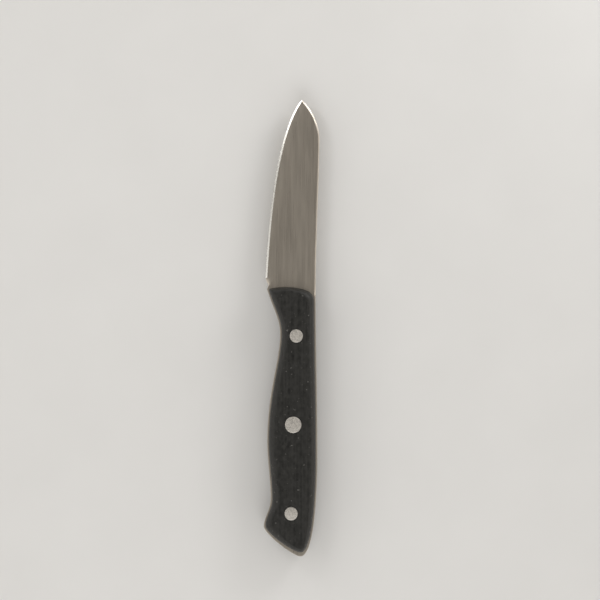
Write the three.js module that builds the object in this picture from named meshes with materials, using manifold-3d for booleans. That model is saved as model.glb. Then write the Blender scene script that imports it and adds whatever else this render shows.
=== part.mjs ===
// A small paring knife: one steel blade with a full tang, two handle scales and three two-piece rivets.
//
// Millimetres. The knife lies on its side: +Y runs to the point, +X to the spine and +Z up through the
// thickness. Outlines are drawn with x = 0 on the spine and y = 0 at the front of the handle, so depths
// below the spine are negative x. The finished group is moved to stand centred on z = 0.

import * as THREE from 'three';
import { mergeVertices } from 'three/addons/utils/BufferGeometryUtils.js';
import Module from 'manifold-3d';

// Blade
const STEEL_THICKNESS = 1.2;
const BLADE_LENGTH = 76.2; // front of the handle to the point
const HEEL_DEPTH = 20.2;
const HEEL_AHEAD = 4.4; // the heel stands this far ahead of the handle
const TIP_DEPTH = 5.7;
const SPINE_RISE = 1.5; // highest point of the spine
const DROP_LENGTH = 15.2; // the spine falls to the point over this length
const SPINE_BEVEL = 0.7; // width of the eased edges along the spine
const DROP_BEVEL = 1.1; // the same at the point
const TANG_BEVEL = 0.25; // the same round the tang
const BEVEL_DROP = 0.42; // depth of the eased edges along Z
const CHOIL_DEPTH = 19; // the notch between the heel and the guard
const CHOIL_AHEAD = 1.5;

// Grind of the cutting edge, as widths along X and thicknesses along Z
const GRIND_WIDTH = 3.4;
const EDGE_BEVEL_WIDTH = 0.7;
const EDGE_BEVEL_THICKNESS = 0.6;
const EDGE_LAND = 0.1;

// Handle outline: stations along the finger side, each measured from the one before
const NECK_FROM_FRONT = 18;
const BELLY_FROM_NECK = 43.5;
const WAIST_FROM_BELLY = 23;
const BEAK_FROM_WAIST = 11.1;
const BUTT_FROM_BEAK = 12.2;
const GUARD_DEPTH = 19.6;
const NECK_DEPTH = 14.3;
const BELLY_DEPTH = 19.5;
const WAIST_DEPTH = 18.1;
const BEAK_DEPTH = 20.9;
const BUTT_DEPTH = 6.1;
const BEAK_ROUND = 3;
const BUTT_ROUND_FINGER = 3;
const BUTT_ROUND_SPINE = 4.5;
const SWELL_FROM_FRONT = 66;
const SWELL_HEIGHT = 0.7; // the spine side of the handle stands this far above the spine line

// Handle scales
const SCALE_THICKNESS = 5.9;
const SCALE_WALL = 2; // upright part of the scale's side
const SIDE_SHOULDER = 3.2;
const NECK_SHOULDER = 2.5; // narrower beside the neck rivet
const FRONT_SHOULDER = 1.8;
const BUTT_SHOULDER = 1.6;
const TANG_RIM = 0.7; // steel that shows round the scale
const BUTT_RIM = 1.7; // steel that shows at the butt
const FRONT_CROWN = 0.8;
const FRONT_CORNER = 4.6;

// Rivets
const NECK_RIVET_FROM_FRONT = 18.9;
const BUTT_RIVET_FROM_END = 17.4;
const NECK_RIVET_OFFSET = 0.7; // from the middle of the handle towards the fingers
const MIDDLE_RIVET_OFFSET = -0.3;
const BUTT_RIVET_OFFSET = 0;
const SMALL_HEAD_DIAMETER = 5.4;
const LARGE_HEAD_DIAMETER = 6.7;
const SMALL_TUBE_DIAMETER = 3.2;
const LARGE_TUBE_DIAMETER = 4.2;
const HEAD_THICKNESS = 1.3;
const HEAD_CHAMFER = 0.15;
const HEAD_RECESS = 0.05; // heads lie this far below the face of the scale
const TUBE_WALL = 0.6;

// Clearances, all measured on the radius or along Z
const HEAD_CLEARANCE = 0.15;
const TUBE_CLEARANCE = 0.15;
const PIN_CLEARANCE = 0.1;
const TUBE_END_GAP = 0.4;
const PIN_END_GAP = 0.6;

// Fullness of the outline's curves: how long each holds the direction of its two ends, as shares of its run
const GUARD_TO_NECK = [0.39, 0.33];
const NECK_TO_BELLY = [0.25, 0.46];
const BELLY_TO_WAIST = [0.33, 0.33];
const WAIST_TO_BEAK = [0.4, 0.3];
const BUTT_TO_SWELL = 0.6;
const SWELL_TO_FRONT = [0.36, 0.3];
const FRONT_TO_CREST = [0.33, 0.26];
const CREST_HOLD = 0.22;
const DROP_NEAR_TIP = point(0.71, 0.28);
const EDGE_NEAR_TIP = point(0.63, 0.163);
const EDGE_NEAR_HEEL = point(0.11, 0.418);
const QUARTER_ROUND = 0.5523;

// Fineness of the facets
const CURVE_STEPS = 14;
const BLADE_STEPS = 28;
const SHOULDER_STEPS = 7;
const ROUND_SIDES = 32;
const HALVINGS = 40; // steps of each search for a crossing
const CUT_OVERRUN = 1; // cutters run past what they cut by this much
const WELD = 1e-4; // points closer than this are one point

// Worked out from the sizes above
const HALF_STEEL = STEEL_THICKNESS / 2;
const SCALE_FACE = HALF_STEEL + SCALE_THICKNESS;
const NECK_Y = -NECK_FROM_FRONT;
const BELLY_Y = NECK_Y - BELLY_FROM_NECK;
const WAIST_Y = BELLY_Y - WAIST_FROM_BELLY;
const BEAK_Y = WAIST_Y - BEAK_FROM_WAIST;
const BUTT_Y = BEAK_Y - BUTT_FROM_BEAK;
const HEAD_TOP = SCALE_FACE - HEAD_RECESS;
const HEAD_SEAT = HEAD_TOP - HEAD_THICKNESS;

const wasm = await Module();
wasm.setup();

function point(x, y) {
  return new THREE.Vector2(x, y);
}

// A cubic curve from one point to another, given the way it leaves the first and arrives at the second.
function sweep(from, leaving, arriving, to) {
  return new THREE.CubicBezierCurve(from, from.clone().add(leaving), to.clone().sub(arriving), to);
}

// A curve that runs along Y at both ends.
function swell(from, to, [leavingShare, arrivingShare]) {
  const run = to.y - from.y;
  return sweep(from, point(0, run * leavingShare), point(0, run * arrivingShare), to);
}

// Points along a chain of curves, without the last point of the chain.
function pointsAlong(curves, steps) {
  return curves.flatMap((curve) => curve.getPoints(steps).slice(0, -1));
}

// The handle's finger side from the guard to the butt, moved in by side, by neckSide at the neck and by butt.
function fingerSide(side, butt, frontY, neckSide = side) {
  const guard = point(side - GUARD_DEPTH, frontY);
  const neck = point(neckSide - NECK_DEPTH, NECK_Y);
  const belly = point(side - BELLY_DEPTH, BELLY_Y);
  const waist = point(side - WAIST_DEPTH, WAIST_Y);
  const beak = point(side - BEAK_DEPTH, BEAK_Y + side / 2);
  const end = point(-BUTT_DEPTH, BUTT_Y + butt);
  const [slantShare, neckShare] = GUARD_TO_NECK;
  const slant = neck.clone().sub(guard).multiplyScalar(slantShare);
  return [
    sweep(guard, slant, point(0, (neck.y - guard.y) * neckShare), neck),
    swell(neck, belly, NECK_TO_BELLY),
    swell(belly, waist, BELLY_TO_WAIST),
    swell(waist, beak, WAIST_TO_BEAK),
    sweep(beak, point(0, -BEAK_ROUND), point(BUTT_ROUND_FINGER, 0), end),
  ];
}

// The handle's spine side from the butt to the front, moved in by side and butt.
function spineSide(side, butt, frontY) {
  const end = point(-BUTT_DEPTH, BUTT_Y + butt);
  const crest = point(SWELL_HEIGHT - side, -SWELL_FROM_FRONT);
  const front = point(-side, frontY);
  return [
    sweep(end, point(BUTT_ROUND_SPINE - side / 2, 0), point(0, (crest.y - end.y) * BUTT_TO_SWELL), crest),
    swell(crest, front, SWELL_TO_FRONT),
  ];
}

// The parameter at which a curve that only rises, or only falls, along Y reaches a height.
function parameterAt(curve, y) {
  let low = 0;
  let high = 1;
  const rising = curve.getPoint(1).y > curve.getPoint(0).y;
  for (let step = 0; step < HALVINGS; step += 1) {
    const middle = (low + high) / 2;
    if (curve.getPoint(middle).y < y === rising) low = middle;
    else high = middle;
  }
  return (low + high) / 2;
}

// Points along a stretch of a curve, without the last one.
function pointsBetween(curve, start, end, steps) {
  return Array.from({ length: steps }, (_, step) => curve.getPoint(start + ((end - start) * step) / steps));
}

// Spine, point, cutting edge and choil of the blade, from the handle's front round to the guard. The edge is
// moved in by ground and the spine by a share of its bevel, and both end where they meet at the point.
function bladeSide(ground, share) {
  const root = point(-SPINE_BEVEL * share, 0);
  const crest = point(SPINE_RISE - SPINE_BEVEL * share, BLADE_LENGTH - DROP_LENGTH);
  const spineTip = point(-TIP_DEPTH - DROP_BEVEL * share, BLADE_LENGTH);
  const edgeTip = point(ground - TIP_DEPTH, BLADE_LENGTH);
  const heel = point(ground - HEEL_DEPTH, HEEL_AHEAD);
  const choil = point(TANG_BEVEL * share - CHOIL_DEPTH, CHOIL_AHEAD);
  const fall = spineTip.clone().sub(crest);
  const run = heel.clone().sub(edgeTip);
  const spine = swell(root, crest, FRONT_TO_CREST);
  const drop = sweep(crest, point(0, fall.y * CREST_HOLD), fall.multiply(DROP_NEAR_TIP), spineTip);
  const leaving = run.clone().multiply(EDGE_NEAR_TIP);
  const arriving = run.clone().multiply(EDGE_NEAR_HEEL);
  const edge = sweep(edgeTip, leaving, arriving, heel);
  let low = crest.y;
  let high = BLADE_LENGTH;
  for (let step = 0; step < HALVINGS; step += 1) {
    const y = (low + high) / 2;
    const dropX = drop.getPoint(parameterAt(drop, y)).x;
    const edgeX = edge.getPoint(parameterAt(edge, y)).x;
    if (dropX > edgeX) low = y;
    else high = y;
  }
  return [
    ...pointsAlong([spine], CURVE_STEPS),
    ...pointsBetween(drop, 0, parameterAt(drop, low), CURVE_STEPS),
    ...pointsBetween(edge, parameterAt(edge, low), 1, BLADE_STEPS),
    heel,
    choil,
  ];
}

// A closed solid through a stack of outlines with equal numbers of points, from the lowest to the highest.
function loft(rings) {
  const count = rings[0].outline.length;
  const positions = rings.flatMap(({ outline, z }) => outline.flatMap(({ x, y }) => [x, y, z]));
  const triangles = [];
  for (let ring = 0; ring < rings.length - 1; ring += 1) {
    for (let index = 0; index < count; index += 1) {
      const next = (index + 1) % count;
      const low = ring * count;
      const high = low + count;
      triangles.push(low + index, low + next, high + next, low + index, high + next, high + index);
    }
  }
  const top = (rings.length - 1) * count;
  for (const [a, b, c] of THREE.ShapeUtils.triangulateShape(rings[0].outline, [])) triangles.push(c, b, a);
  for (const [a, b, c] of THREE.ShapeUtils.triangulateShape(rings.at(-1).outline, [])) {
    triangles.push(top + a, top + b, top + c);
  }
  const geometry = new THREE.BufferGeometry();
  geometry.setAttribute('position', new THREE.Float32BufferAttribute(positions, 3));
  geometry.setIndex(triangles);
  return geometry;
}

// A turned piece about Z. Its profile of radius and height runs from the axis back to the axis, with the
// material on its left.
function turned(profile, x, y) {
  const geometry = new THREE.LatheGeometry(profile.map(([radius, z]) => point(radius, z)), ROUND_SIDES);
  return geometry.rotateX(Math.PI / 2).translate(x, y, 0);
}

function toSolid(geometry) {
  const bare = geometry.clone();
  bare.deleteAttribute('normal');
  bare.deleteAttribute('uv');
  const merged = mergeVertices(bare, WELD);
  return new wasm.Manifold(
    new wasm.Mesh({
      numProp: 3,
      vertProperties: merged.attributes.position.array,
      triVerts: new Uint32Array(merged.index.array),
    }),
  );
}

function toGeometry(solid) {
  const { vertProperties, triVerts } = solid.getMesh();
  const geometry = new THREE.BufferGeometry();
  geometry.setAttribute('position', new THREE.BufferAttribute(vertProperties, 3));
  geometry.setIndex(new THREE.BufferAttribute(triVerts, 1));
  return geometry;
}

function cut(body, cutters) {
  return toGeometry(cutters.reduce((solid, cutter) => solid.subtract(toSolid(cutter)), toSolid(body)));
}

// Middle of the handle, between its finger side and its spine side, at a height.
function middleAt(y) {
  const crossing = (curves) => {
    const curve = curves.find(({ v0, v3 }) => (v0.y - y) * (v3.y - y) <= 0);
    return curve.getPoint(parameterAt(curve, y)).x;
  };
  return (crossing(fingerSide(0, 0, 0)) + crossing(spineSide(0, 0, 0))) / 2;
}

// The three rivets, each with its place and its sizes.
function rivetPlan() {
  const neckY = -NECK_RIVET_FROM_FRONT;
  const buttY = BUTT_Y + BUTT_RIVET_FROM_END;
  const small = { head: SMALL_HEAD_DIAMETER / 2, tube: SMALL_TUBE_DIAMETER / 2 };
  const large = { head: LARGE_HEAD_DIAMETER / 2, tube: LARGE_TUBE_DIAMETER / 2 };
  return [
    { name: 'neck', y: neckY, offset: NECK_RIVET_OFFSET, ...small },
    { name: 'middle', y: (neckY + buttY) / 2, offset: MIDDLE_RIVET_OFFSET, ...large },
    { name: 'butt', y: buttY, offset: BUTT_RIVET_OFFSET, ...small },
  ].map((rivet) => ({ ...rivet, x: middleAt(rivet.y) - rivet.offset }));
}

const rivets = rivetPlan();

// Blade and tang in one piece of sheet: its outline narrows towards both faces along the ground edge and
// along the eased spine and tang, and the rivets pass through three holes.
function bladeGeometry() {
  const landZ = EDGE_LAND / 2;
  const bevelZ = EDGE_BEVEL_THICKNESS / 2;
  const groundAt = (z) => {
    if (z <= bevelZ) return (EDGE_BEVEL_WIDTH * (z - landZ)) / (bevelZ - landZ);
    return THREE.MathUtils.mapLinear(z, bevelZ, HALF_STEEL, EDGE_BEVEL_WIDTH, GRIND_WIDTH);
  };
  const ringAt = (z) => {
    const share = Math.max(0, 1 - (HALF_STEEL - Math.abs(z)) / BEVEL_DROP);
    const tangInset = TANG_BEVEL * share;
    const outline = [
      ...pointsAlong(spineSide(tangInset, tangInset, 0), CURVE_STEPS),
      ...bladeSide(groundAt(Math.abs(z)), share),
      ...pointsAlong(fingerSide(tangInset, tangInset, 0), CURVE_STEPS),
    ];
    return { outline, z };
  };
  const heights = [landZ, bevelZ, HALF_STEEL - BEVEL_DROP, HALF_STEEL]
    .sort((a, b) => a - b)
    .filter((z, index, all) => index === 0 || z - all[index - 1] > WELD);
  const levels = [...heights.map((z) => -z).reverse(), ...heights];
  const holes = rivets.map(({ x, y, tube }) => {
    const end = HALF_STEEL + CUT_OVERRUN;
    const radius = tube + TUBE_CLEARANCE;
    return turned([[0, -end], [radius, -end], [radius, end], [0, end]], x, y);
  });
  return cut(loft(levels.map(ringAt)), holes);
}

// The outline of a scale, moved in from the tang's outline along its sides, its neck, its front and its butt.
function scaleOutline(side, neckSide, front, butt) {
  const frontY = -front;
  const corner = point(-side, frontY - FRONT_CORNER);
  const spine = spineSide(side, butt, corner.y);
  const cornerEnd = point(-side - FRONT_CORNER, frontY);
  const finger = fingerSide(side, butt, frontY, neckSide);
  const crown = new THREE.QuadraticBezierCurve(
    cornerEnd,
    point((cornerEnd.x + finger[0].v0.x) / 2, frontY + 2 * FRONT_CROWN),
    finger[0].v0,
  );
  const hold = FRONT_CORNER * QUARTER_ROUND;
  const roundOff = sweep(corner, point(0, hold), crown.getTangent(0).multiplyScalar(hold), cornerEnd);
  return pointsAlong([...spine, roundOff, crown, ...finger], CURVE_STEPS);
}

// A scale has an upright wall on the tang, then a rounded shoulder to a flat face, with stepped rivet holes.
// direction is 1 for the upper scale and -1 for the lower one.
function scaleGeometry(direction) {
  const foot = scaleOutline(TANG_RIM, TANG_RIM, 0, BUTT_RIM);
  const face = scaleOutline(
    TANG_RIM + SIDE_SHOULDER,
    TANG_RIM + NECK_SHOULDER,
    FRONT_SHOULDER,
    BUTT_RIM + BUTT_SHOULDER,
  );
  const rings = [{ outline: foot, z: direction * HALF_STEEL }];
  for (let step = 0; step <= SHOULDER_STEPS; step += 1) {
    const turn = (step / SHOULDER_STEPS) * (Math.PI / 2);
    const height = SCALE_WALL + (SCALE_THICKNESS - SCALE_WALL) * Math.sin(turn);
    const outline = foot.map((from, index) => from.clone().lerp(face[index], 1 - Math.cos(turn)));
    rings.push({ outline, z: direction * (HALF_STEEL + height) });
  }
  if (direction < 0) rings.reverse();
  const holes = rivets.map(({ x, y, head, tube }) => {
    const seat = [
      [0, HALF_STEEL - CUT_OVERRUN],
      [tube + TUBE_CLEARANCE, HALF_STEEL - CUT_OVERRUN],
      [tube + TUBE_CLEARANCE, HEAD_SEAT],
      [head + HEAD_CLEARANCE, HEAD_SEAT],
      [head + HEAD_CLEARANCE, SCALE_FACE + CUT_OVERRUN],
      [0, SCALE_FACE + CUT_OVERRUN],
    ];
    return turned(direction > 0 ? seat : seat.map(([r, z]) => [r, -z]).reverse(), x, y);
  });
  return cut(loft(rings), holes);
}

// The socket half of a rivet: a head in the upper scale and a tube that reaches down through the tang.
function rivetSocket({ x, y, head, tube }) {
  const bore = tube - TUBE_WALL;
  const tubeEnd = TUBE_END_GAP - HEAD_SEAT;
  return turned([
    [0, HEAD_SEAT],
    [bore, HEAD_SEAT],
    [bore, tubeEnd],
    [tube, tubeEnd],
    [tube, HEAD_SEAT],
    [head, HEAD_SEAT],
    [head, HEAD_TOP - HEAD_CHAMFER],
    [head - HEAD_CHAMFER, HEAD_TOP],
    [0, HEAD_TOP],
  ], x, y);
}

// The pin half of a rivet: a head in the lower scale and a pin that closes into the socket's tube.
function rivetPin({ x, y, head, tube }) {
  const pin = tube - TUBE_WALL - PIN_CLEARANCE;
  const pinEnd = HEAD_SEAT - PIN_END_GAP;
  return turned([
    [0, -HEAD_TOP],
    [head - HEAD_CHAMFER, -HEAD_TOP],
    [head, HEAD_CHAMFER - HEAD_TOP],
    [head, -HEAD_SEAT],
    [pin, -HEAD_SEAT],
    [pin, pinEnd],
    [0, pinEnd],
  ], x, y);
}

const satinSteel = { color: 0x8a8378, roughness: 0.38, metalness: 1 };
const blackPlastic = { color: 0x1d1c1b, roughness: 0.45, metalness: 0 };
const paleAlloy = { color: 0xb5b1a6, roughness: 0.42, metalness: 1 };

function piece(name, geometry, finish) {
  const mesh = new THREE.Mesh(geometry, new THREE.MeshStandardMaterial(finish));
  mesh.name = name;
  return mesh;
}

const knife = new THREE.Group();
knife.add(piece('blade', bladeGeometry(), satinSteel));
knife.add(piece('upper_scale', scaleGeometry(1), blackPlastic));
knife.add(piece('lower_scale', scaleGeometry(-1), blackPlastic));
for (const rivet of rivets) {
  knife.add(piece(`${rivet.name}_rivet_socket`, rivetSocket(rivet), paleAlloy));
  knife.add(piece(`${rivet.name}_rivet_pin`, rivetPin(rivet), paleAlloy));
}

// Stand the knife on z = 0, centred on the vertical axis.
const reach = new THREE.Box3().setFromObject(knife);
const middle = reach.getCenter(new THREE.Vector3());
knife.position.set(-middle.x, -middle.y, -reach.min.z);

export default knife;
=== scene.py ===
# %% [markdown]
# # A paring knife, piece by piece
#
# The knife is one strip of stainless sheet, two black handle scales and three two-piece rivets. The
# solids of those nine pieces are loaded first, at their real size. They are plain and faceted, so each
# piece below is modelled again over its solid, finer and with its real finish. Blender works in metres: a
# size in millimetres is written as a number times MM.

# %% Load the solids
import math
from collections import Counter

import bmesh
import bpy
from mathutils import Matrix, Vector
from mathutils.geometry import interpolate_bezier


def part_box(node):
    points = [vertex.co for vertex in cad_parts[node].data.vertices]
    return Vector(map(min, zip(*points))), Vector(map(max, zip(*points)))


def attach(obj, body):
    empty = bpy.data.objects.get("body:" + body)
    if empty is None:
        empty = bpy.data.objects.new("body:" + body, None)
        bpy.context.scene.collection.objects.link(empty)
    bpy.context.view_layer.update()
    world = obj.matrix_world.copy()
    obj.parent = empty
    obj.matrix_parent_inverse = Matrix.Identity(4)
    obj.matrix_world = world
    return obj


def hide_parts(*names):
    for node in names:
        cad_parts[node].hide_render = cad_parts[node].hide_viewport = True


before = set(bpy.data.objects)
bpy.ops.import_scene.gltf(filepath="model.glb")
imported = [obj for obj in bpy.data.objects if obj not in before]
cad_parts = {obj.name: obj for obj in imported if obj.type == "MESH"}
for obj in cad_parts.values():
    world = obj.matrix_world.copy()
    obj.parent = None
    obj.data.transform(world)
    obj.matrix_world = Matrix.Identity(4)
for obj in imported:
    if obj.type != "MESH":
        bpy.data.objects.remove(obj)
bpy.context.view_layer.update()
MM = 0.001
print("solids:", ", ".join(sorted(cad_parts)))

# %% [markdown]
# ## Welding a solid
#
# A loaded solid is a heap of loose triangles, each with three corners of its own. Whatever follows edges
# from corner to corner needs neighbours that share them. Merging by distance does that. It is done on a
# copy, because the solid itself stays as it was loaded.

# %% Weld a copy of a solid
WELD = 0.002 * MM


def welded(node):
    """A copy of one solid's mesh, with its loose triangles joined at their corners."""
    solid = bmesh.new()
    solid.from_mesh(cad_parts[node].data)
    bmesh.ops.remove_doubles(solid, verts=solid.verts, dist=WELD)
    solid.normal_update()
    return solid


blade_solid = welded("blade")
print("corners of the welded blade:", len(blade_solid.verts))
blade_solid.free()

# %% [markdown]
# ## Reading the outlines of a solid
#
# Blade and scales are stacks of outlines: one closed line at each height where the solid has corners.
# Drawing these lines again by hand would let the visible piece drift away from its solid. Instead the rim
# of the welded copy is walked from edge to edge at each height. An edge inside a flat face has two level
# neighbours, so it is skipped.

# %% Walk round a solid at each height
LEVEL = 0.9999  # a face whose normal stands at least this upright is flat
DECIMALS = 6  # heights and radii are compared to this many decimals of a metre


def outline_at(solid, height):
    """Points round the rim at one height, from the butt up the spine side and back down the finger side."""
    def on_rim(edge):
        slanted = any(abs(face.normal.z) < LEVEL for face in edge.link_faces)
        return slanted and all(abs(v.co.z - height) < WELD for v in edge.verts)

    start = min((v for v in solid.verts if abs(v.co.z - height) < WELD), key=lambda v: v.co.y)
    here = max((e.other_vert(start) for e in start.link_edges if on_rim(e)), key=lambda v: v.co.x)
    ring = [start]
    while here != start:
        ring.append(here)
        ways = [e.other_vert(here) for e in here.link_edges if on_rim(e)]
        here = next(v for v in ways if v != ring[-2])
    return [v.co.copy() for v in ring]


def outlines(node):
    """The outlines of a solid from the lowest to the highest, leaving out the smaller rims of its holes."""
    solid = welded(node)
    heights = sorted({round(v.co.z, DECIMALS) for v in solid.verts})
    rings = [outline_at(solid, height) for height in heights]
    solid.free()
    whole = max(len(ring) for ring in rings)
    rings = [ring for ring in rings if len(ring) == whole]
    print(f"{node}: {len(rings)} outlines of {whole} points")
    return rings


blade_rings = outlines("blade")
scale_rings = {node: outlines(node) for node in ("upper_scale", "lower_scale")}

# %% [markdown]
# ## Corners of an outline
#
# The outlines are polygons with short straight sides. Most of their bends belong to a round stretch, but
# a few are real corners, such as the point and the heel, and have to stay. A corner turns by more than a
# set angle. All of them lie ahead of the origin: the handle behind it turns only in roundings.

# %% Find the corners
CORNER = math.radians(24)


def pairs(ring):
    """Neighbouring points of a closed ring, two by two."""
    return zip(ring, ring[1:] + ring[:1])


def corners_of(ring):
    """Places ahead of the origin where a ring turns a corner."""
    sides = [here - before for before, here in zip(ring[-1:] + ring[:-1], ring)]
    turns = [side.angle(after) for side, after in pairs(sides)]
    return {i for i, turn in enumerate(turns) if turn > CORNER and ring[i].y > 0}


blade_middle = blade_rings[len(blade_rings) // 2]
blade_corners = corners_of(blade_middle)
print("corners of the blade:", sorted(blade_corners))

# %% [markdown]
# ## Fairing an outline
#
# A satin finish shows every straight side of a polygon. A Subdivision Surface would smooth them, but it
# also pulls the line inwards. A Bezier curve through all the points keeps them where they are: each point
# gets the heading of the arc through it and its two neighbours. Corners keep the straight headings of
# their two sides.

# %% Draw a smooth line through an outline
FINENESS = 4
HANDLES = 3  # a Bezier handle is one part in this many of its side


def heading(before, here, after):
    """The direction, at the middle one of three points, of the arc through them."""
    arriving, leaving = here - before, after - here
    return (arriving.normalized() * leaving.length + leaving.normalized() * arriving.length).normalized()


def fair(ring, corners):
    """The same closed line with FINENESS times as many points, smooth except at the corners."""
    count = len(ring)
    fine = []
    for i, here in enumerate(ring):
        after = ring[(i + 1) % count]
        side = after - here
        leave = side.normalized() if i in corners else heading(ring[i - 1], here, after)
        arrive = side.normalized()
        if (i + 1) % count not in corners:
            arrive = heading(here, after, ring[(i + 2) % count])
        reach = side.length / HANDLES
        curve = interpolate_bezier(here, here + leave * reach, after - arrive * reach, after, FINENESS + 1)
        fine += curve[:-1]
    return fine


print("points of a faired outline of the blade:", len(fair(blade_middle, blade_corners)))

# %% [markdown]
# ## Skinning a stack of outlines
#
# A stack of outlines becomes a wall when each ring is joined to the next. Every face could be listed by
# its corners, but bridging two loops of edges finds the faces by itself. With equally many points on both
# loops they are all quads.

# %% Bridge rings into a wall
def edges_of(bm, ring):
    """The edges round a ring of corners."""
    return [bm.edges.get(pair) for pair in pairs(ring)]


def skin(bm, rings):
    """Draws a stack of outlines, bridges each to the next, and returns their corners ring by ring."""
    drawn = []
    for ring in rings:
        drawn.append([bm.verts.new(place) for place in ring])
        for pair in pairs(drawn[-1]):
            bm.edges.new(pair)
    for low, high in zip(drawn, drawn[1:]):
        bmesh.ops.bridge_loops(bm, edges=edges_of(bm, low) + edges_of(bm, high))
    return drawn


print("strips round the blade:", len(blade_rings) - 1)

# %% [markdown]
# ## Closing the flats
#
# The flat top is a single face, set in by a narrow border. The border takes up the bend of the rim, so
# the shading of the flat stays flat. Where rivets pass, circles are drawn in the flat and the space
# between them and the rim is filled with triangles. A Boolean could cut the holes later, but circles that
# are drawn stay at hand as rings, and the walls of the holes are bridged from them.

# %% Close a ring round its holes
BORDER = 0.08 * MM
ROUND = 64  # points round a circle


def circle(centre, radius, height):
    """Points of a circle round a vertical axis."""
    turns = [2 * math.pi * step / ROUND for step in range(ROUND)]
    return [Vector((centre.x + radius * math.cos(t), centre.y + radius * math.sin(t), height)) for t in turns]


def close_flat(bm, ring, holes):
    """Closes a ring with a bordered flat face and leaves the holes open."""
    face = bm.faces.new(ring)
    face.normal_update()  # a new face has no direction yet, and the inset needs one
    bmesh.ops.inset_region(bm, faces=[face], thickness=BORDER, use_even_offset=True)
    rim = list(face.edges)
    bmesh.ops.delete(bm, geom=[face], context="FACES_ONLY")
    rims = [edge for hole in holes for edge in edges_of(bm, hole)]
    bmesh.ops.triangle_fill(bm, edges=rim + rims, use_beauty=True)


print(f"flats have a border of {BORDER / MM:.2f} mm and holes of {ROUND} points")

# %% [markdown]
# ## From a bmesh to a piece
#
# A bmesh is a workbench: nothing shows until it is written to a mesh and an object holds that mesh. All
# faces are shaded smooth, and an edge that turns too far is marked sharp, which keeps a crisp line
# without any more faces. Each piece rides on the knife's one body and stands for one solid, which is then
# hidden.

# %% Shade a bmesh and make it a piece
def shade(bm, sharpest):
    """Points the faces outwards and smooths every edge that turns less than the given angle."""
    bmesh.ops.recalc_face_normals(bm, faces=bm.faces)
    bm.normal_update()
    for face in bm.faces:
        face.smooth = True
    for edge in bm.edges:
        edge.smooth = edge.calc_face_angle(0) < sharpest


def finished(bm, node, finishes):
    """Turns a bmesh into the visible piece that stands for one solid."""
    mesh = bpy.data.meshes.new(f"{node}_finished")
    bm.to_mesh(mesh)
    bm.free()
    for finish in finishes:
        mesh.materials.append(finish)
    piece = bpy.data.objects.new(mesh.name, mesh)
    bpy.context.collection.objects.link(piece)
    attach(piece, "root")
    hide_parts(node)
    print(f"{piece.name}: {len(mesh.vertices)} points, {len(mesh.polygons)} faces")
    return piece


# %% [markdown]
# ## Nodes and grain
#
# Every finish here is a Principled shader with a few noises. A noise can be stretched: many grains to the
# metre one way and few the other give brushing, equal counts give mottling. It is read on Object
# coordinates, and all pieces sit at the origin, so the grain is in real metres and no piece needs a UV
# map.

# %% Start a finish and give it grain
def new_finish(name):
    """A material with only its Principled shader, and that shader."""
    finish = bpy.data.materials.new(name)
    finish.use_nodes = True
    return finish, finish.node_tree.nodes["Principled BSDF"]


def add(shader, kind):
    """A new node beside a shader."""
    return shader.id_data.nodes.new(kind)


def join(shader, start, end):
    """Links a socket to another in the shader's tree."""
    shader.id_data.links.new(start, end)


def placed(shader, scale=(1, 1, 1), centre=(0, 0, 0)):
    """Object coordinates about a centre, scaled to grains per metre."""
    place = add(shader, "ShaderNodeTexCoord")
    mapping = add(shader, "ShaderNodeMapping")
    mapping.vector_type = "TEXTURE"
    mapping.inputs["Location"].default_value = centre
    mapping.inputs["Scale"].default_value = [1 / count for count in scale]
    join(shader, place.outputs["Object"], mapping.inputs["Vector"])
    return mapping.outputs["Vector"]


def grain(shader, scale, detail):
    """A noise with the given number of grains per metre along X, Y and Z."""
    noise = add(shader, "ShaderNodeTexNoise")
    noise.inputs["Scale"].default_value = 1
    noise.inputs["Detail"].default_value = detail
    join(shader, placed(shader, scale), noise.inputs["Vector"])
    return noise.outputs["Fac"]


# %% [markdown]
# ## Colour, gloss and relief
#
# A noise is only a number between 0 and 1, and most of it lies near the middle. Map Range spreads that
# middle over the range that is wanted. The result then mixes two colours, sets the roughness or raises a
# bump. Several bumps are chained: each one tilts the normal that the one before it hands on.

# %% Turn grain into colour, gloss and relief
NOISE_LOW, NOISE_HIGH = 0.3, 0.7  # most of a noise lies between these
FIRST_COLOUR, SECOND_COLOUR, MIXED_COLOUR = 6, 7, 2  # sockets of a Mix node, where several share one name


def ranged(shader, value, low, high, start=NOISE_LOW, end=NOISE_HIGH):
    """A noise spread over the range from low to high."""
    spread = add(shader, "ShaderNodeMapRange")
    for name, number in (("From Min", start), ("From Max", end), ("To Min", low), ("To Max", high)):
        spread.inputs[name].default_value = number
    join(shader, value, spread.inputs["Value"])
    return spread.outputs["Result"]


def blended(shader, factor, first, second):
    """A colour between two colours, each given as numbers or as a socket."""
    mix = add(shader, "ShaderNodeMix")
    mix.data_type = "RGBA"
    join(shader, factor, mix.inputs["Factor"])
    for socket, colour in ((mix.inputs[FIRST_COLOUR], first), (mix.inputs[SECOND_COLOUR], second)):
        if isinstance(colour, tuple):
            socket.default_value = (*colour, 1)
        else:
            join(shader, colour, socket)
    return mix.outputs[MIXED_COLOUR]


def relief(shader, layers):
    """Bumps from several heights, each with its depth, chained into the shader's normal."""
    normal = None
    for height, depth in layers:
        bump = add(shader, "ShaderNodeBump")
        bump.inputs["Distance"].default_value = depth
        join(shader, height, bump.inputs["Height"])
        if normal:
            join(shader, normal, bump.inputs["Normal"])
        normal = bump.outputs["Normal"]
    join(shader, normal, shader.inputs["Normal"])


# %% [markdown]
# ## Satin steel
#
# The sheet was brushed along its length, from the butt to the point. Anisotropic shading could imitate
# that, but it shows no single scratch. Two stretched noises make real ones: fine scratches a few tenths
# of a millimetre apart, and broad ones that the eye picks out from a step away. A slow mottling keeps the
# colour alive.

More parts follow.
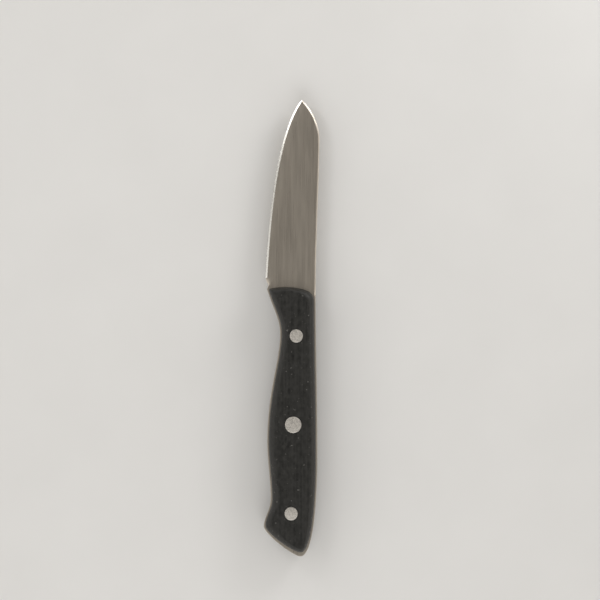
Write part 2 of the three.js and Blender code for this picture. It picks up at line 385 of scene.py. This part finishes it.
# %% Make the satin steel
FINE_SCRATCHES = (3600, 45, 3600)  # grains per metre along X, Y and Z, here and in the other finishes
BROAD_SCRATCHES = (900, 14, 900)
STEEL_CLOUDS = (620, 70, 620)
STEEL_DARK = (0.488, 0.443, 0.380)
STEEL_LIGHT = (0.572, 0.519, 0.445)
STEEL_ROUGHNESS = (0.26, 0.40)
BROAD_DEPTH = 0.006 * MM
FINE_DEPTH = 0.005 * MM


def satin_steel():
    """Stainless sheet brushed along Y."""
    finish, shader = new_finish("satin_steel")
    fine = grain(shader, FINE_SCRATCHES, detail=3)
    broad = grain(shader, BROAD_SCRATCHES, detail=2)
    cloud = grain(shader, STEEL_CLOUDS, detail=4)
    shader.inputs["Metallic"].default_value = 1
    mottled = blended(shader, ranged(shader, cloud, 0, 1), STEEL_DARK, STEEL_LIGHT)
    join(shader, mottled, shader.inputs["Base Color"])
    join(shader, ranged(shader, fine, *STEEL_ROUGHNESS), shader.inputs["Roughness"])
    relief(shader, [(broad, BROAD_DEPTH), (fine, FINE_DEPTH)])
    return finish


steel = satin_steel()
print("made", steel.name)

# %% [markdown]
# ## Ground steel with a painted highlight
#
# The cutting edge was ground last, across its line. Its colour is painted much paler than the satin
# steel, as a painted highlight for the light that the edge catches. It could share the satin steel, but
# the scratches would then run along the edge. So it gets a finish of its own, with very shallow lines
# across it.

# %% Make the ground steel and its painted highlight
GRINDING_LINES = (120, 3200, 120)
# painted highlight: both colours are far paler than the satin steel, and the grinding lines only switch
# between them
EDGE_HIGHLIGHT_DARK = (0.80, 0.78, 0.72)
EDGE_HIGHLIGHT_LIGHT = (0.86, 0.84, 0.78)
GROUND_ROUGHNESS = (0.26, 0.30)
GRINDING_DEPTH = 0.0008 * MM


def ground_steel_painted_highlight():
    """The cutting edge: painted paler than the satin steel as a highlight, with fine lines across it."""
    finish, shader = new_finish("ground_steel_painted_highlight")
    across = grain(shader, GRINDING_LINES, detail=2)
    shader.inputs["Metallic"].default_value = 1
    # the pale base colour is a painted highlight along the edge
    join(shader, blended(shader, across, EDGE_HIGHLIGHT_DARK, EDGE_HIGHLIGHT_LIGHT), shader.inputs["Base Color"])
    join(shader, ranged(shader, across, *GROUND_ROUGHNESS), shader.inputs["Roughness"])
    relief(shader, [(across, GRINDING_DEPTH)])
    return finish


# the ground steel of the edge, with its painted highlight
edge_steel_painted_highlight = ground_steel_painted_highlight()
print("made", edge_steel_painted_highlight.name)

# %% [markdown]
# ## Where the rivets pass
#
# Blade and scales need holes for the rivets. Their places and sizes could be written down again, but the
# solids already hold them. A rivet stands in the middle of its box, and many corners at one height and
# one distance from its axis make a circle.

# %% Find the rivets and their circles
FULL_CIRCLE = 16  # at least this many corners at one height and radius make a circle


def rivet_circles(node, centre):
    """Heights and radii of the circles that a solid has about a vertical axis, from the lowest up."""
    solid = welded(node)
    spots = Counter(
        (round(v.co.z, DECIMALS), round((v.co.xy - centre).length, DECIMALS)) for v in solid.verts
    )
    solid.free()
    return sorted(spot for spot, corners in spots.items() if corners >= FULL_CIRCLE)


def axis_of(rivet):
    """Where the axis of a rivet stands."""
    low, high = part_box(f"{rivet}_rivet_socket")
    return (low.xy + high.xy) / 2


rivets = {rivet: axis_of(rivet) for rivet in ("neck", "middle", "butt")}
for rivet, axis in rivets.items():
    print(f"{rivet} rivet at {axis.x / MM:.2f}, {axis.y / MM:.2f} mm")

# %% [markdown]
# ## The blade and its tang
#
# Blade and tang are one strip of sheet. Its outlines narrow towards both faces: a little along the eased
# spine and tang, a lot along the ground edge. A Boolean cut could grind a plain plate, but it would leave
# slivers at the point. Bridging the outlines gives clean strips that follow the edge. The line where the
# last bevel begins is a real ridge, so it is marked sharp. The slow start of the grind turns by less than
# RIDGE and stays soft.

# %% Build the blade
BLADE_SHARP = math.radians(36)
RIDGE = math.radians(8)  # lines along the cutting edge that turn more than this stay sharp
EDGE_TILT = (math.radians(12), math.radians(60))  # the last bevel slopes between these
# the ground steel in this place carries a painted highlight in its pale colour
GROUND = 1  # place of the ground steel among the blade's materials


def grind_edge(bm, walls):
    """Marks the ridges along the cutting edge and gives the last bevel the ground steel with its painted
    highlight.
    """
    tip = max(range(len(blade_middle)), key=lambda i: blade_middle[i].y)
    heel = min(i for i in blade_corners if i > tip)
    first, last = tip * FINENESS, heel * FINENESS
    for ring in walls:
        for pair in zip(ring[first:last], ring[first + 1:last + 1]):
            line = bm.edges.get(pair)
            line.smooth = line.calc_face_angle(0) < RIDGE
            for face in line.link_faces:
                if EDGE_TILT[0] < math.acos(min(1, abs(face.normal.z))) < EDGE_TILT[1]:
                    face.material_index = GROUND


def build_blade():
    """Blade and tang, with holes where the rivets pass."""
    bm = bmesh.new()
    walls = skin(bm, [fair(ring, blade_corners) for ring in blade_rings])
    bores = []
    for centre in rivets.values():
        sizes = rivet_circles("blade", centre)
        bores.append(skin(bm, [circle(centre, radius, height) for height, radius in sizes]))
    close_flat(bm, walls[0], [bore[0] for bore in bores])
    close_flat(bm, walls[-1], [bore[-1] for bore in bores])
    shade(bm, BLADE_SHARP)
    grind_edge(bm, walls)
    return finished(bm, "blade", [steel, edge_steel_painted_highlight])


blade = build_blade()

# %% [markdown]
# ## Black scale plastic
#
# The scales are dark moulded plastic with a low sheen, buffed along the handle after riveting. A plain
# black would look like a hole in the picture. So the roughness is mottled, fine buffing lines run
# lengthwise, and a few pale specks of dust and wear sit in the surface.

# %% Make the plastic
PLASTIC_MOTTLE = (800, 520, 800)
BUFFING_LINES = (1100, 18, 1100)
SPECKS = (900, 900, 900)
SPECK_PEAKS = (0.71, 0.79)  # only the peaks of the noise become specks
STREAK_DARK = (0.008, 0.008, 0.007)
STREAK_LIGHT = (0.024, 0.0235, 0.0215)
PLASTIC_PALE = (0.037, 0.036, 0.033)
PALE_SHARE = 0.6  # how far the mottling goes from the streaks to the pale colour
SPECK_COLOUR = (0.11, 0.107, 0.10)
PLASTIC_ROUGHNESS = (0.36, 0.54)
PLASTIC_SPECULAR = 0.28
PLASTIC_DEPTH = 0.022 * MM
BUFFING_DEPTH = 0.02 * MM


def scale_plastic():
    """Near-black plastic with mottled sheen and faint lengthwise lines."""
    finish, shader = new_finish("scale_plastic")
    mottle = grain(shader, PLASTIC_MOTTLE, detail=4)
    buffing = grain(shader, BUFFING_LINES, detail=3)
    speck = grain(shader, SPECKS, detail=1)
    worn = ranged(shader, speck, 0, 1, *SPECK_PEAKS)
    streaked = blended(shader, ranged(shader, buffing, 0, 1), STREAK_DARK, STREAK_LIGHT)
    body = blended(shader, ranged(shader, mottle, 0, PALE_SHARE), streaked, PLASTIC_PALE)
    join(shader, blended(shader, worn, body, SPECK_COLOUR), shader.inputs["Base Color"])
    join(shader, ranged(shader, mottle, *PLASTIC_ROUGHNESS), shader.inputs["Roughness"])
    shader.inputs["Specular IOR Level"].default_value = PLASTIC_SPECULAR
    relief(shader, [(mottle, PLASTIC_DEPTH), (buffing, BUFFING_DEPTH)])
    return finish


plastic = scale_plastic()
print("made", plastic.name)

# %% [markdown]
# ## The shoulder of a scale
#
# A scale has an upright foot on the tang, then a shoulder that rolls over to a flat face. A Bevel would
# make the shoulder equally wide all round, but it is wider along the sides than at the front and the
# butt. It is a quarter of an ellipse between two outlines, so any number of rings can be drawn between
# them: each step goes in by one minus the cosine and up by the sine of its angle. The sharp front corner
# of the outline is rounded a little with a short Bezier curve, as a mould leaves it.

# %% Round the corner and the shoulder
SHOULDER_STEPS = 14
CORNER_REACH = 2  # fine points on either side of a corner that its rounding takes up
CORNER_PULL = 0.55  # how far the handles of a rounding reach towards its corner


def rounded(ring, corners):
    """A faired outline whose corners are rounded a little."""
    soft = list(ring)
    for place in corners:
        spots = [(place * FINENESS + step) % len(ring) for step in range(-CORNER_REACH, CORNER_REACH + 1)]
        start, corner, end = (ring[spots[k]] for k in (0, CORNER_REACH, -1))
        handles = [side.lerp(corner, CORNER_PULL) for side in (start, end)]
        for spot, point in zip(spots, interpolate_bezier(start, *handles, end, len(spots))):
            soft[spot] = point
    return soft


def shoulder(foot, wall, face, step):
    """One outline on the rounded shoulder between the upright wall and the flat face."""
    turn = step / SHOULDER_STEPS * math.pi / 2
    height = wall[0].z + (face[0].z - wall[0].z) * math.sin(turn)
    inward = [start.lerp(end, 1 - math.cos(turn)) for start, end in zip(foot, face)]
    return [Vector((place.x, place.y, height)) for place in inward]


print("corners of a scale:", sorted(corners_of(scale_rings["upper_scale"][0])))

# %% [markdown]
# ## The handle scales
#
# The two scales match, so one function builds both, and the lower one reads its outlines from the top
# down. Stepped holes take the heads of the rivets. The rims of those holes are broken by a small slope,
# as a countersink leaves them: a Bevel could do it, but one more circle in the wall of the hole is
# simpler.

# %% Build the two scales
RIM_BREAK = 0.12 * MM
SCALE_SHARP = math.radians(30)


def scale_bore(centre, sizes, upward):
    """Circles down a stepped rivet hole, from the tang out to the broken rim at the face."""
    narrow, wide = min(radius for _, radius in sizes), max(radius for _, radius in sizes)
    foot, seat, face = sorted({height for height, _ in sizes}, reverse=not upward)
    lower = face - RIM_BREAK if upward else face + RIM_BREAK
    steps = [(narrow, foot), (narrow, seat), (wide, seat), (wide, lower), (wide + RIM_BREAK, face)]
    return [circle(centre, radius, height) for radius, height in steps]


def build_scale(node, upward):
    """One scale; upward is true for the scale on top of the tang."""
    rings = scale_rings[node] if upward else scale_rings[node][::-1]
    corners = corners_of(rings[0])
    foot, wall, face = (rounded(fair(ring, corners), corners) for ring in (rings[0], rings[1], rings[-1]))
    bm = bmesh.new()
    walls = skin(bm, [foot] + [shoulder(foot, wall, face, step) for step in range(SHOULDER_STEPS + 1)])
    bores = []
    for centre in rivets.values():
        bores.append(skin(bm, scale_bore(centre, rivet_circles(node, centre), upward)))
    close_flat(bm, walls[-1], [bore[-1] for bore in bores])
    foot_rims = [edge for bore in bores for edge in edges_of(bm, bore[0])]
    bmesh.ops.triangle_fill(bm, edges=edges_of(bm, walls[0]) + foot_rims, use_beauty=True)
    shade(bm, SCALE_SHARP)
    return finished(bm, node, [plastic])


upper = build_scale("upper_scale", True)
lower = build_scale("lower_scale", False)

# %% [markdown]
# ## Rivet alloy
#
# The heads were faced flush with the scales, which leaves faint rings about the axis, and handling adds a
# fine mottling. A Wave texture could draw the rings, but they would be too even. So they are a noise read
# along the distance from the axis. Object coordinates have one origin for the whole knife, and a Mapping
# node moves the centre of the rings to each rivet.

# %% Make the alloy for each rivet
FACING_RINGS = 4200  # grains per metre of radius
ALLOY_MOTTLE = (2500, 2500, 2500)
ALLOY_DARK = (0.575, 0.548, 0.50)
ALLOY_LIGHT = (0.925, 0.882, 0.815)
ALLOY_ROUGHNESS = (0.34, 0.52)
ALLOY_DEPTH = 0.019 * MM
RING_DEPTH = 0.006 * MM


def radius_about(shader, centre):
    """The distance from a vertical axis, in metres."""
    flat = add(shader, "ShaderNodeVectorMath")
    flat.operation = "MULTIPLY"
    flat.inputs[1].default_value = (1, 1, 0)
    join(shader, placed(shader, centre=(centre.x, centre.y, 0)), flat.inputs[0])
    radius = add(shader, "ShaderNodeVectorMath")
    radius.operation = "LENGTH"
    join(shader, flat.outputs["Vector"], radius.inputs[0])
    return radius.outputs["Value"]


def rivet_alloy(rivet, centre):
    """Pale alloy with facing rings about the rivet's axis."""
    finish, shader = new_finish(f"{rivet}_rivet_alloy")
    rings = add(shader, "ShaderNodeTexNoise")
    rings.noise_dimensions = "1D"
    rings.inputs["Scale"].default_value = FACING_RINGS
    join(shader, radius_about(shader, centre), rings.inputs["W"])
    mottle = grain(shader, ALLOY_MOTTLE, detail=3)
    shader.inputs["Metallic"].default_value = 1
    grained = blended(shader, ranged(shader, mottle, 0, 1), ALLOY_DARK, ALLOY_LIGHT)
    join(shader, grained, shader.inputs["Base Color"])
    join(shader, ranged(shader, mottle, *ALLOY_ROUGHNESS), shader.inputs["Roughness"])
    relief(shader, [(mottle, ALLOY_DEPTH), (rings.outputs["Fac"], RING_DEPTH)])
    return finish


alloys = {rivet: rivet_alloy(rivet, centre) for rivet, centre in rivets.items()}
print("made", ", ".join(alloy.name for alloy in alloys.values()))

# %% [markdown]
# ## The section of a rivet half
#
# Each rivet closes from both sides: a socket with a hollow shank from above, a pin from below. Both are
# turned, so half of their section is drawn as a line of radii and heights. The head is very slightly
# crowned and its rim is rounded, which catches the light as a thin bright ring. A Bevel would round the
# rim as well, but raise no crown.

# %% Draw half of a section
CROWN = 0.08 * MM
HEAD_ROUND = 0.22 * MM
CROWN_STEPS = 6
ROUND_STEPS = 5


def head_section(head, top, outward):
    """Radius and height along the crowned top and the rounded rim of a head, from its middle outwards."""
    flat = head - HEAD_ROUND
    section = []
    for step in range(CROWN_STEPS + 1):
        share = step / CROWN_STEPS
        section.append((flat * share, top - outward * CROWN * share ** 2))
    for step in range(1, ROUND_STEPS + 1):
        turn = step / ROUND_STEPS * math.pi / 2
        drop = CROWN + HEAD_ROUND * (1 - math.cos(turn))
        section.append((flat + HEAD_ROUND * math.sin(turn), top - outward * drop))
    return section


def half_section(sizes, half):
    """Radius and height along the whole section of a socket or a pin, from its head to the axis again."""
    socket = half == "socket"
    inward = sizes[::-1] if socket else sizes  # circles from the top of the head to the end of the shank
    top, end = inward[0][0], inward[-1][0]
    head = max(radius for _, radius in sizes)
    seat = [height for height, radius in inward if radius == head][-1]
    end_radii = [radius for height, radius in sizes if height == end]
    shank, bore = max(end_radii), min(end_radii)
    section = head_section(head, top, 1 if socket else -1) + [(head, seat), (shank, seat), (shank, end)]
    return section + ([(bore, end), (bore, seat), (0, seat)] if socket else [(0, end)])


for half in ("socket", "pin"):
    sizes = rivet_circles(f"middle_rivet_{half}", rivets["middle"])
    print(f"section of the middle {half}: {len(half_section(sizes, half))} points")

# %% [markdown]
# ## The rivets
#
# A turned part is a section spun about its axis. A Screw modifier can do that too, but the bmesh operator
# leaves a finished mesh in place. The spin ends where it began, so its last row is merged into its first,
# and the copies of each point on the axis are welded together.

# %% Spin the rivet halves
RIVET_SHARP = math.radians(36)


def build_rivet(rivet, half):
    """One half of a rivet, turned about the rivet's axis."""
    node = f"{rivet}_rivet_{half}"
    centre = rivets[rivet]
    section = half_section(rivet_circles(node, centre), half)
    bm = bmesh.new()
    line = [bm.verts.new((centre.x + radius, centre.y, height)) for radius, height in section]
    line_edges = [bm.edges.new(pair) for pair in zip(line, line[1:])]
    bmesh.ops.spin(bm, geom=line + line_edges, cent=(*centre, 0), axis=(0, 0, 1),
                   angle=2 * math.pi, steps=ROUND, use_merge=True)
    bmesh.ops.remove_doubles(bm, verts=bm.verts, dist=WELD)
    shade(bm, RIVET_SHARP)
    return finished(bm, node, [alloys[rivet]])


halves = [build_rivet(rivet, half) for rivet in rivets for half in ("socket", "pin")]
print(len(halves), "rivet halves")

# %% [markdown]
# ## The floor
#
# The knife lies on a plain pale surface. A curved backdrop would hide the horizon, but the camera looks
# straight down, so a flat floor is enough. It lies a hair below the lower scale, and a faint mottling
# keeps it from looking empty.

# %% Lay the floor
FLOOR_SIZE = 6.0
FLOOR_DROP = 0.05 * MM
FLOOR_CLOUDS = (30, 30, 30)
FLOOR_DARK = (0.74, 0.735, 0.72)
FLOOR_LIGHT = (0.79, 0.785, 0.77)
FLOOR_ROUGHNESS = 0.75


def lay_floor():
    """A pale matt floor just under the knife."""
    finish, shader = new_finish("pale_floor")
    cloud = grain(shader, FLOOR_CLOUDS, detail=4)
    join(shader, blended(shader, cloud, FLOOR_DARK, FLOOR_LIGHT), shader.inputs["Base Color"])
    shader.inputs["Roughness"].default_value = FLOOR_ROUGHNESS
    bm = bmesh.new()
    bmesh.ops.create_grid(bm, x_segments=1, y_segments=1, size=FLOOR_SIZE / 2,
                          matrix=Matrix.Translation((0, 0, -FLOOR_DROP)))
    mesh = bpy.data.meshes.new("floor")
    bm.to_mesh(mesh)
    bm.free()
    mesh.materials.append(finish)
    floor = bpy.data.objects.new("floor", mesh)
    bpy.context.collection.objects.link(floor)
    return floor


floor = lay_floor()
print("floor of", FLOOR_SIZE, "metres")

# %% [markdown]
# ## The room
#
# Metal shows the room rather than its own colour, so the room is what has to be designed. A plain grey
# world would make the steel look like grey paint. Here it is graded by height: a dim ceiling, a darker
# ring about it and bright walls. From straight above the blade mirrors the ceiling, while its eased spine
# mirrors the walls and shines as a line.

# %% Grade the world
SKY = (  # how far a ray points up, from level at 0 to straight up at 1, and the strength there
    (0.00, 1.20),
    (0.46, 1.28),
    (0.62, 0.34),
    (0.80, 0.22),
    (0.92, 0.27),
    (1.00, 0.31),
)
SKY_TINT = (1.0, 0.965, 0.92)


def grade_world():
    """A room whose brightness depends on how high a ray points."""
    world = bpy.data.worlds.new("studio")
    bpy.context.scene.world = world
    world.use_nodes = True
    background = world.node_tree.nodes["Background"]
    place = add(background, "ShaderNodeTexCoord")
    split = add(background, "ShaderNodeSeparateXYZ")
    ramp = add(background, "ShaderNodeValToRGB")
    join(background, place.outputs["Generated"], split.inputs["Vector"])
    join(background, split.outputs["Z"], ramp.inputs["Fac"])
    stops = ramp.color_ramp.elements
    while len(stops) < len(SKY):
        stops.new(1)
    for stop, (share, strength) in zip(stops, SKY):
        stop.position = share
        stop.color = (*(strength * part for part in SKY_TINT), 1)
    join(background, ramp.outputs["Color"], background.inputs["Color"])
    return world


world = grade_world()
print("world", world.name, "with", len(SKY), "levels")

# %% [markdown]
# ## The lamps
#
# The world alone would leave the cutting edge dull, because no bright wall stands where its bevel looks.
# Sun lamps would glint in single spots, so soft rectangular panels are hung instead. Two on the left
# light the ground edge, one on the right lights the drop near the point, and a large one beyond the butt
# brings the whole knife to a plain level of light.

# %% Hang the panels
PANELS = {  # place in metres, width and height in metres, power in watts
    "upper_left_panel": ((-0.21, 0.215, 0.29), 0.10, 0.14, 0.18),
    "lower_left_panel": ((-0.25, 0.015, 0.29), 0.10, 0.14, 0.04),
    "right_panel": ((0.27, 0.27, 0.18), 0.14, 0.16, 0.36),
    "butt_panel": ((0, -0.48, 0.46), 0.60, 0.46, 1.3),
}


def hang_panel(name, place, width, height, power):
    """A soft panel that faces the origin, under the middle of the knife."""
    lamp = bpy.data.lights.new(name, "AREA")
    lamp.shape = "RECTANGLE"
    lamp.size, lamp.size_y = width, height
    lamp.energy = power
    panel = bpy.data.objects.new(name, lamp)
    panel.location = place
    panel.rotation_euler = (-Vector(place)).to_track_quat("-Z", "Y").to_euler()
    bpy.context.collection.objects.link(panel)
    return panel


panels = [hang_panel(name, *values) for name, values in PANELS.items()]
print(len(panels), "panels")

# %% [markdown]
# ## Camera
#
# The knife is seen square on to its side, so the camera hangs straight above it and looks down, with the
# point of the blade up in the picture. An orthographic camera would show no perspective at all. A long
# lens from far away shows very little, as in the picture that it follows, and keeps the handle from
# looking thicker at its near face.

# %% Hang the camera
SENSOR = 36.0
LENS = 400.0
VIEW_WIDTH = 241.9 * MM  # what the frame spans at the height of the blade
VIEW_CENTRE = Vector((3.41 * MM, 11.37 * MM))


def hang_camera():
    """A camera above the knife that looks straight down."""
    blade_low, blade_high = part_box("blade")
    lens = bpy.data.cameras.new("camera")
    lens.sensor_width = SENSOR
    lens.lens = LENS
    camera = bpy.data.objects.new("camera", lens)
    distance = VIEW_WIDTH * LENS / SENSOR
    camera.location = (*VIEW_CENTRE, (blade_low.z + blade_high.z) / 2 + distance)
    bpy.context.collection.objects.link(camera)
    bpy.context.scene.camera = camera
    return camera


camera = hang_camera()
bpy.context.scene.view_settings.view_transform = "Standard"
print(f"camera {camera.location.z:.3f} m above the floor")
